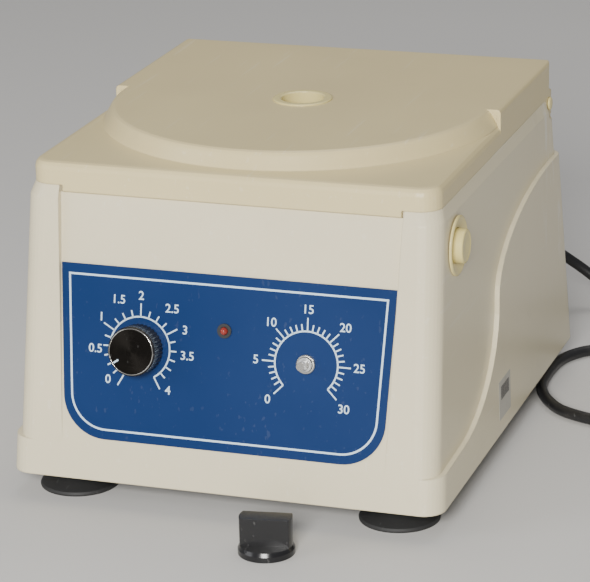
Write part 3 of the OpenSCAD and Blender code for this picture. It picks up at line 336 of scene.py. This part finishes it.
# Turned and plated metal: the spindle, the control shafts and the speed
# control's nut are bright, the screws, plates and latch parts inside are dull
# zinc, and the board's posts are brass.
bright = material("bright_metal", (0.62, 0.61, 0.58), 0.22, metal=1.0, stains=0.25, scratches=0.3,
                  scale=1100.0, depth=0.12, edge=0.0004, stain=(0.20, 0.17, 0.13, 1))
finish_nodes(bright, "spindle", "speed_control_nut", "speed_shaft", "timer_shaft")
zinc = material("zinc", (0.50, 0.51, 0.52), 0.38, metal=1.0, stains=0.25, scratches=0.2, drift=0.08,
                scale=700.0, depth=0.12, edge=0.0003, stain=(0.28, 0.25, 0.20, 1))
finish_nodes(zinc, "base_plate", "base_screws", "foot_nuts", "motor_plate", "mount_screws",
             "lid_screws", "lid_striker", "latch_slide", "timer_body", "speed_control", "rotor_nut")
brass = material("nickel_brass", (0.62, 0.55, 0.36), 0.3, metal=1.0, scale=800.0)
finish_nodes(brass, "board_posts")

# Latch spring: a coil of zinc wire round the button's stem, copied from the solid and fixed
# on the base. On the real machine it shortens towards the barrel's floor as the button goes in.
coil_mesh = frame["nodes"]["latch_spring"].data.copy()
coil_mesh.name = "return_spring"
coil_mesh.materials.clear()
coil_mesh.materials.append(zinc)
return_spring = link(bpy.data.objects.new("return_spring", coil_mesh))
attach(return_spring, "base")
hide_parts("latch_spring")
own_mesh(return_spring)

# Lid: the same plastic as the case, more yellowed, with a raised round crown.
# A small web closes each facet where the crown's square rear half begins.
facet_front, facet_back = 0.03674, 0.0392
facet_outline = ((0.1289, 0.2264), (0.1309, 0.2264), (0.1327, 0.2256), (0.1334, 0.2238),
                 (0.1334, 0.2190), (0.1310, 0.2223), (0.1300, 0.2240))


def thicken(shape, along):
    """A flat sheet of faces made a closed slab, drawn out along a vector."""
    draw_out(shape, bmesh.ops.extrude_face_region(shape, geom=shape.faces[:]), along)


def piece_from(name, shape, finish, body, place=None, smooth=False):
    """A finished mesh piece: its place goes into its mesh, and it rides on a body."""
    if place is not None:
        bmesh.ops.transform(shape, matrix=place, verts=shape.verts)
    made = mesh_object(name, shape, finish, smooth)
    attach(made, body)
    return made


lid_plastic = material("lid_plastic", (0.700, 0.590, 0.315), 0.34, stains=0.10, scratches=0.24,
                       drift=0.025, scale=1500.0, depth=0.10, edge=0.0012,
                       stain=(0.36, 0.30, 0.20, 1))
finish_nodes(lid_plastic, "lid_shell")
for side, name in ((-1, "lid_facet_left"), (1, "lid_facet_right")):
    facet = bmesh.new()
    facet.faces.new([facet.verts.new((side * x, facet_front, z)) for x, z in facet_outline])
    thicken(facet, (0, facet_back - facet_front, 0))
    piece_from(name, facet, lid_plastic, "lid")

# Cream trim: smooth plastic, yellowed more than the case. The liner is screwed
# under the lid, the port ring and the hinge pins are pressed in, and the latch
# ring holds its push button.
cream = material("cream_trim", (0.76, 0.65, 0.29), 0.28, stains=0.15, scratches=0.12, drift=0.03,
                 scale=1200.0, depth=0.04, edge=0.0005)
finish_nodes(cream, "lid_liner", "port_ring", "hinge_pins", "latch_ring")
button_cream = material("button_cream", (0.76, 0.65, 0.26), 0.26, stains=0.12, scratches=0.1,
                        drift=0.03, scale=1200.0, depth=0.03, edge=0.0003)
finish_nodes(button_cream, "latch_button")

# Port window: a round pane of clear plastic between the liner and the port
# ring, aged yellow and dusty.
window = bpy.data.materials.new("port_glass")
window.use_nodes = True
window_tree = window.node_tree
window_worn = use(window_tree, wear, {
    "Vector": object_place(window_tree), "Colour": (0.80, 0.70, 0.36, 1),
    "Stain": (0.45, 0.36, 0.16, 1), "Stains": 0.6, "Scratches": 0.4, "Drift": 0.08,
    "Roughness": 0.14})
feed(window_tree, window_tree.nodes["Principled BSDF"], {
    "Base Color": window_worn["Colour"], "Roughness": window_worn["Roughness"],
    "Transmission Weight": 0.6, "IOR": 1.49})
finish_nodes(window, "port_window")

# Control panel: a thin blue plate on the sloping recess, printed with a pale
# border line, two round scales and their numbers.
panel_lift = 0.00085
print_thick = 0.00004
joints = {joint["name"]: joint for joint in frame["joints"]}
speed_x, dial_y, dial_z = joints["speed_turn"]["pos_m"]
timer_x = joints["timer_turn"]["pos_m"][0]
panel_middle = Vector((0, dial_y, dial_z))
panel_out = -Vector(joints["speed_turn"]["axis"])
panel_up = panel_out.cross(Vector((1, 0, 0)))
panel_blue = material("panel_blue", (0.0042, 0.026, 0.108), 0.36, stains=0.03, scratches=0.03,
                      drift=0.05, scale=2600.0, depth=0.06, edge=0.0002,
                      stain=(0.02, 0.06, 0.16, 1), more={"Specular IOR Level": 0.22})
finish_nodes(panel_blue, "control_panel")
print_white = material("print_white", (0.60, 0.76, 0.90), 0.4, stains=0.1, scratches=0.1,
                       scale=2600.0, depth=0.05, edge=0.0)


def on_panel(x, up, lift):
    """Places a shape drawn flat, x across and y up the slope, on the panel."""
    turned = Matrix((Vector((1, 0, 0)), panel_up, panel_out)).transposed().to_4x4()
    place = panel_middle + Vector((x, 0, 0)) + panel_up * up + panel_out * lift
    return Matrix.Translation(place) @ turned


def printed(name, shape, x, up, lift=panel_lift):
    """A shape in the panel's pale print."""
    piece_from(name, shape, print_white, "base", on_panel(x, up, lift))


# Border: a printed line 1.3 mm wide, set in from the panel's edge, with large
# rounded lower corners like the panel's own.
border_top, border_foot = 0.0454, -0.0558
border_half_top, border_half_foot = 0.1073, 0.1035
border_corner = 0.0245
border_wide = 0.0013
corner_steps = 16
weld = 1e-6
border_line = [(-border_half_top, border_top), (-border_half_foot, border_foot + border_corner)]
for side in (-1, 1):
    for step in range(corner_steps + 1):
        turn = math.pi / 2 * (step if side < 0 else corner_steps - step) / corner_steps
        border_line.append((side * (border_half_foot - border_corner * (1 - math.cos(turn))),
                            border_foot + border_corner * (1 - math.sin(turn))))
border_line.append((border_half_top, border_top))
border = bmesh.new()
border.faces.new([border.verts.new((x, y, 0)) for x, y in border_line])
bmesh.ops.remove_doubles(border, verts=border.verts, dist=weld)
inner = border.faces[:]
bmesh.ops.inset_region(border, faces=inner, thickness=border_wide, use_even_offset=True,
                       use_boundary=True)
bmesh.ops.delete(border, geom=inner, context="FACES_ONLY")
thicken(border, (0, 0, print_thick))
printed("panel_border", border, 0, 0)

# Scales: an arc open at the foot with a stroke at each mark, and plain numbers
# beside the longer ones, all in the same pale print.
speed_ends, timer_ends = 150, 135
number_tall = 0.0079
number_weight = 0.00009


def block(shape, size, middle, place=Matrix.Identity(4)):
    """A block of that size about its middle, drawn in its own place."""
    bmesh.ops.create_cube(shape, size=1, matrix=place @ Matrix.Translation(middle)
                          @ Matrix.Diagonal((*size, 1)))


def bar(shape, length, wide, turn, start):
    """A flat printed stroke that runs outwards from start, turned about the middle."""
    block(shape, (wide, length, print_thick), (0, length / 2, print_thick / 2),
          Matrix.Rotation(turn, 4, "Z") @ Matrix.Translation((0, start, 0)))


def dial(name, x, ends, marks, long_every, radius):
    """A scale: an arc open at the foot, with a stroke outwards at each mark."""
    half_line, short, tall, stroke, arc_steps = 0.00052, 0.0046, 0.0086, 0.00095, 72
    shape = bmesh.new()
    start = math.radians(90 + ends)
    lips = [shape.verts.new(((radius + r) * math.cos(start), (radius + r) * math.sin(start), 0))
            for r in (-half_line, half_line)]
    edge = shape.edges.new(lips)
    bmesh.ops.spin(shape, geom=lips + [edge], cent=(0, 0, 0), axis=(0, 0, 1), dvec=(0, 0, 0),
                   angle=-math.radians(2 * ends), steps=arc_steps)
    thicken(shape, (0, 0, print_thick))
    for i in range(marks + 1):
        bar(shape, tall if i in long_every else short, stroke,
            math.radians(ends - 2 * ends * i / marks), radius)
    printed(name, shape, x, 0)


def number(name, text, x, turn, radius):
    """A number printed beside its mark: turn is clockwise from the top."""
    words = bpy.data.curves.new(name, "FONT")
    words.body = text
    words.size = number_tall
    words.align_x, words.align_y = "CENTER", "CENTER"
    words.extrude = print_thick / 2
    words.offset = number_weight
    drawn = link(bpy.data.objects.new(name, words))
    bpy.context.view_layer.update()
    mesh = bpy.data.meshes.new_from_object(drawn.evaluated_get(bpy.context.evaluated_depsgraph_get()))
    bpy.data.objects.remove(drawn)
    shape = bmesh.new()
    shape.from_mesh(mesh)
    bpy.data.meshes.remove(mesh)
    bmesh.ops.remove_doubles(shape, verts=shape.verts, dist=weld)
    bmesh.ops.recalc_face_normals(shape, faces=shape.faces)
    angle = math.radians(turn)
    printed(name, shape, x + radius * math.sin(angle), radius * math.cos(angle),
            panel_lift + print_thick / 2)


dial("speed_scale", speed_x, speed_ends, 20, (0, 6, 10, 14, 20), 0.0204)
for place, (text, turn, radius) in enumerate((
        ("0", -136, 0.0305), ("0.5", -95, 0.0305), ("1", -56, 0.0325), ("1.5", -27, 0.0340),
        ("2", 0, 0.0338), ("2.5", 38, 0.0345), ("3", 65, 0.0335), ("3.5", 94, 0.0325),
        ("4", 142, 0.0325))):
    number("speed_number_%d" % place, text, speed_x, turn, radius)
dial("timer_scale", timer_x, timer_ends, 30, range(0, 31, 5), 0.0208)
for place, (turn, radius) in enumerate((
        (-135, 0.0350), (-90, 0.0335), (-45, 0.0345), (0, 0.0345), (45, 0.0352), (90, 0.0350),
        (136, 0.0370))):
    number("timer_number_%d" % place, str(5 * place), timer_x, turn, radius)

# Speed knob: glossy black plastic with a fluted skirt, pushed on its shaft, and
# a black spun metal face with a bright rim and a short white pointer. The
# timer's own knob, which stands on the bench, is of the same plastic.
knob_back, knob_tall = 0.00155, 0.015
knob_rim = knob_back + knob_tall
cap_drop = 0.0001
ring_rise = 0.0001
ring_outline = ((0.01445, -0.0004), (0.01445, 0.0), (0.01475, 0.00012), (0.0151, -0.0001),
                (0.0151, -0.0004))
pointer_turn = math.radians(125)
pointer_long, pointer_wide, pointer_start = 0.0038, 0.0011, 0.0102


def spun_about(finish, pivot, axis, rings, depth):
    """Turning marks about an axis: the highlight runs across them, and fine rings show."""
    tree = finish.node_tree
    shader = tree.nodes["Principled BSDF"]
    from_axis = add(tree, "ShaderNodeVectorMath", {0: object_place(tree), 1: pivot},
                    operation="SUBTRACT")
    around = add(tree, "ShaderNodeVectorMath", {0: from_axis.outputs[0], 1: axis},
                 operation="CROSS_PRODUCT")
    turned = add(tree, "ShaderNodeVectorTransform", {0: around.outputs[0]}, vector_type="VECTOR",
                 convert_from="OBJECT", convert_to="WORLD")
    unit = add(tree, "ShaderNodeVectorMath", {0: turned.outputs[0]}, operation="NORMALIZE")
    radius = add(tree, "ShaderNodeVectorMath", {0: around.outputs[0]}, operation="LENGTH")
    marks = add(tree, "ShaderNodeTexNoise", {"W": radius.outputs["Value"], "Scale": rings,
                                             "Detail": 2.0}, noise_dimensions="1D")
    bump = add(tree, "ShaderNodeBump", {
        "Strength": depth, "Distance": bump_reach, "Height": marks.outputs["Fac"],
        "Normal": shader.inputs["Normal"].links[0].from_socket})
    feed(tree, shader, {"Normal": bump.outputs["Normal"], "Tangent": unit.outputs[0]})


def turned_ring(outline, steps):
    """A closed outline of radius and height pairs, turned in a full circle."""
    shape = bmesh.new()
    corners = [shape.verts.new((radius, 0, height)) for radius, height in outline]
    sides = [shape.edges.new(pair) for pair in zip(corners, corners[1:] + corners[:1])]
    bmesh.ops.spin(shape, geom=corners + sides, cent=(0, 0, 0), axis=(0, 0, 1), dvec=(0, 0, 0),
                   angle=math.tau, steps=steps, use_merge=True)
    bmesh.ops.recalc_face_normals(shape, faces=shape.faces)
    return shape


knob_gloss = material("knob_gloss", (0.010, 0.010, 0.011), 0.22, stains=0.15, scratches=0.1,
                      stain=(0.06, 0.055, 0.05, 1), scale=1400.0, depth=0.05, edge=0.0004)
finish_nodes(knob_gloss, "speed_knob", "timer_knob")
spun_cap = material("spun_cap", (0.020, 0.018, 0.016), 0.27, metal=1.0, stains=0.1,
                    scratches=0.10, scale=900.0, depth=0.0, edge=0.0003, more={"Anisotropic": 0.75})
spun_about(spun_cap, Vector((speed_x, dial_y, dial_z)), panel_out, rings=3600.0, depth=0.25)
finish_nodes(spun_cap, "speed_knob_cap")
chrome = material("chrome_ring", (0.50, 0.49, 0.46), 0.16, metal=1.0, stains=0.1, scratches=0.1,
                  scale=1400.0, depth=0.03, edge=0.0)
piece_from("speed_knob_ring", turned_ring(ring_outline, 96), chrome, "speed",
           on_panel(speed_x, 0, knob_rim + ring_rise), smooth=True)
pointer = bmesh.new()
bar(pointer, pointer_long, pointer_wide, pointer_turn, pointer_start)
piece_from("speed_pointer", pointer, print_white, "speed",
           on_panel(speed_x, 0, knob_rim - cap_drop))

# Timer's nut: a round nut of bright plated metal with a fine knurl and two
# slots for a pin wrench, screwed on the timer's bushing.
nut_outline = ((0.00475, 0), (0.0062, 0), (0.0062, 0.0016), (0.0057, 0.0022), (0.0052, 0.0023),
               (0.00475, 0.0021))
nut_rim = 0.0018
slot_turn, slot_half, slot_deep = 35, 8, 0.0009
round_nut = turned_ring(nut_outline, 72)
for vert in round_nut.verts:
    turn = math.degrees(math.atan2(vert.co.y, vert.co.x)) % 180
    if vert.co.z > nut_rim and abs(turn - slot_turn) < slot_half:
        vert.co.z -= slot_deep
knurled = material("knurled_nut", (0.58, 0.57, 0.53), 0.24, metal=1.0, stains=0.4, scratches=0.3,
                   drift=0.15, scale=1500.0, depth=0.6, edge=0.0002, stain=(0.10, 0.085, 0.06, 1))
nut = piece_from("timer_round_nut", round_nut, knurled, "base",
                 on_panel(timer_x, 0, panel_lift))
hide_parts("timer_nut")

# Power lamp: a small clear red plastic lens, pushed into a black holder that
# goes through the panel.
lens = material("red_lens", (0.42, 0.045, 0.030), 0.16, stains=0.0, scratches=0.05, scale=900.0,
                depth=0.02, edge=0.0002, more={"Transmission Weight": 0.35, "Coat Weight": 0.4})
finish_nodes(lens, "power_lamp")

# Mains lead: round black jacketed cord, 8 mm thick. It leaves the boot at the
# rear, drops to the bench, runs forward beside the case in loose curves, and
# its unseen length is wound in two layers beyond the right edge of the view.
rotor_axis_y = joints["rotor_spin"]["pos_m"][1]
cord_thick = 0.008
cord_route = [Vector((x / 1000, y / 1000 + rotor_axis_y, z / 1000)) for x, y, z in (
    (100, 217, 62), (100, 231, 62), (102, 245, 59), (107, 258, 52), (116, 268, 42), (129, 274, 31),
    (144, 275, 20), (160, 271, 11), (176, 264, 6), (191, 256, 4), (206, 247, 4), (219, 236, 4),
    (227, 220, 4), (227, 203, 4), (218, 188, 4), (203, 180, 4), (186, 178, 4), (170, 176, 4),
    (156.5, 169, 4), (147, 156, 4), (142, 141, 4), (140.5, 125, 4), (140.5, 109, 4),
    (142, 93, 4), (147, 77, 4), (156, 61, 4), (168, 48, 4), (186, 39, 4), (205, 34, 4),
    (225, 33, 4), (244, 33, 4))]
route_steps = 6
coil_middle_r = 0.052
coil_pitch = 0.0087
coil_turns = 2
coil_lift = 0.0086
coil_steps = 48


def smooth_route(points, steps):
    """The points of one smooth curve through the route, with that many to a stretch."""
    first, last = 2 * points[0] - points[1], 2 * points[-1] - points[-2]
    ringed = [first, *points, last]
    found = []
    for i in range(len(points) - 1):
        a, b, c, d = ringed[i:i + 4]
        for k in range(steps):
            t = k / steps
            found.append(0.5 * (2 * b + (c - a) * t + (2 * a - 5 * b + 4 * c - d) * t ** 2
                                + (3 * b - a - 3 * c + d) * t ** 3))
    return found + [points[-1]]


def coil_point(i):
    """In over the turns on the bench, up in half a turn, and out again over the turns."""
    half = coil_turns * coil_steps
    climb = coil_steps // 2
    drawn_in = min(i, half) if i < half + climb else 2 * half + climb - i
    radius = coil_middle_r - coil_pitch * drawn_in / coil_steps
    turn = math.tau * i / coil_steps - math.pi / 2
    start = cord_route[-1] + Vector((cord_thick, coil_middle_r, 0))
    lift = coil_lift * min(1, max(0, (i - half) / climb))
    return start + Vector((radius * math.cos(turn), radius * math.sin(turn), lift))


coil_total = 2 * coil_turns * coil_steps + coil_steps // 2
coil_path = [coil_point(i) for i in range(coil_total + 1)]
plug_start = coil_path[-1] - Vector((2 * cord_thick, 0, 0))
lead_path = smooth_route(cord_route, route_steps) + coil_path + [plug_start]
lead_curve = bpy.data.curves.new("mains_lead", "CURVE")
lead_curve.dimensions = "3D"
lead_curve.bevel_depth = cord_thick / 2
lead_curve.bevel_resolution = 5
lead_curve.use_fill_caps = True
lead_line = lead_curve.splines.new("POLY")
lead_line.points.add(len(lead_path) - 1)
for point, place in zip(lead_line.points, lead_path):
    point.co = (*place, 1)
lead = link(bpy.data.objects.new("mains_lead", lead_curve))
jacket = material("cord_jacket", (0.012, 0.012, 0.013), 0.42, stains=0.3, scratches=0.15,
                  stain=(0.09, 0.08, 0.07, 1), scale=1400.0, depth=0.25, edge=0.0)
lead_curve.materials.append(jacket)
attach(lead, "base")
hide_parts("mains_cord", "cord_coil")

# Plug, strain relief and holders: moulded black plastic with a fine matt grain.
# The plug and the ribbed boot are moulded on the lead, and the holders of the
# fuse and the lamp are pushed into the case.
moulded_black = material("moulded_black", (0.014, 0.014, 0.015), 0.5, stains=0.3,
                         stain=(0.10, 0.09, 0.08, 1), scale=1600.0, depth=0.3, edge=0.0004)
finish_nodes(moulded_black, "cord_gland", "mains_plug", "fuse_holder", "fuse_cap", "lamp_holder")

# Label: a small pale paper label stuck low on the right side, which leans in a
# little, with plain dark bars on it in place of what was printed.
side_reach, side_foot, side_slope = 0.146, 0.016, 0.02228
label_y, label_z = 0.01125, 0.0395
label_wide, label_tall, label_thick = 0.029, 0.027, 0.0001
bars_left, bars_up, bars_tall = -0.0095, 0.0045, 0.0095
bar_unit, bar_gap, ink_thick = 0.0002, 0.0005, 0.00004
label_x = side_reach - (label_z - side_foot) * side_slope
label_place = (Matrix.Translation((label_x, label_y, label_z))
               @ Matrix.Rotation(math.pi / 2 - math.atan(side_slope), 4, "Y")
               @ Matrix.Rotation(math.pi / 2, 4, "Z"))
paper_label = material("paper_label", (0.50, 0.48, 0.42), 0.55, stains=0.5, scratches=0.1, drift=0.1,
                       scale=1800.0, depth=0.15, edge=0.0, stain=(0.30, 0.26, 0.20, 1))
ink = material("label_ink", (0.05, 0.05, 0.055), 0.5, stains=0.2, scratches=0.0, scale=1800.0,
               edge=0.0)
label = bmesh.new()
block(label, (label_wide, label_tall, label_thick), (0, 0, label_thick / 2))
piece_from("side_label", label, paper_label, "base", label_place)
bars = bmesh.new()
bar_start = bars_left
for units in (4, 2, 6, 2, 3, 7, 2, 4, 3, 6, 2, 5, 2, 4, 7, 3):
    block(bars, (units * bar_unit, bars_tall, ink_thick),
          (bar_start + units * bar_unit / 2, bars_up, label_thick + ink_thick / 2))
    bar_start += units * bar_unit + bar_gap
piece_from("side_label_bars", bars, ink, "base", label_place)
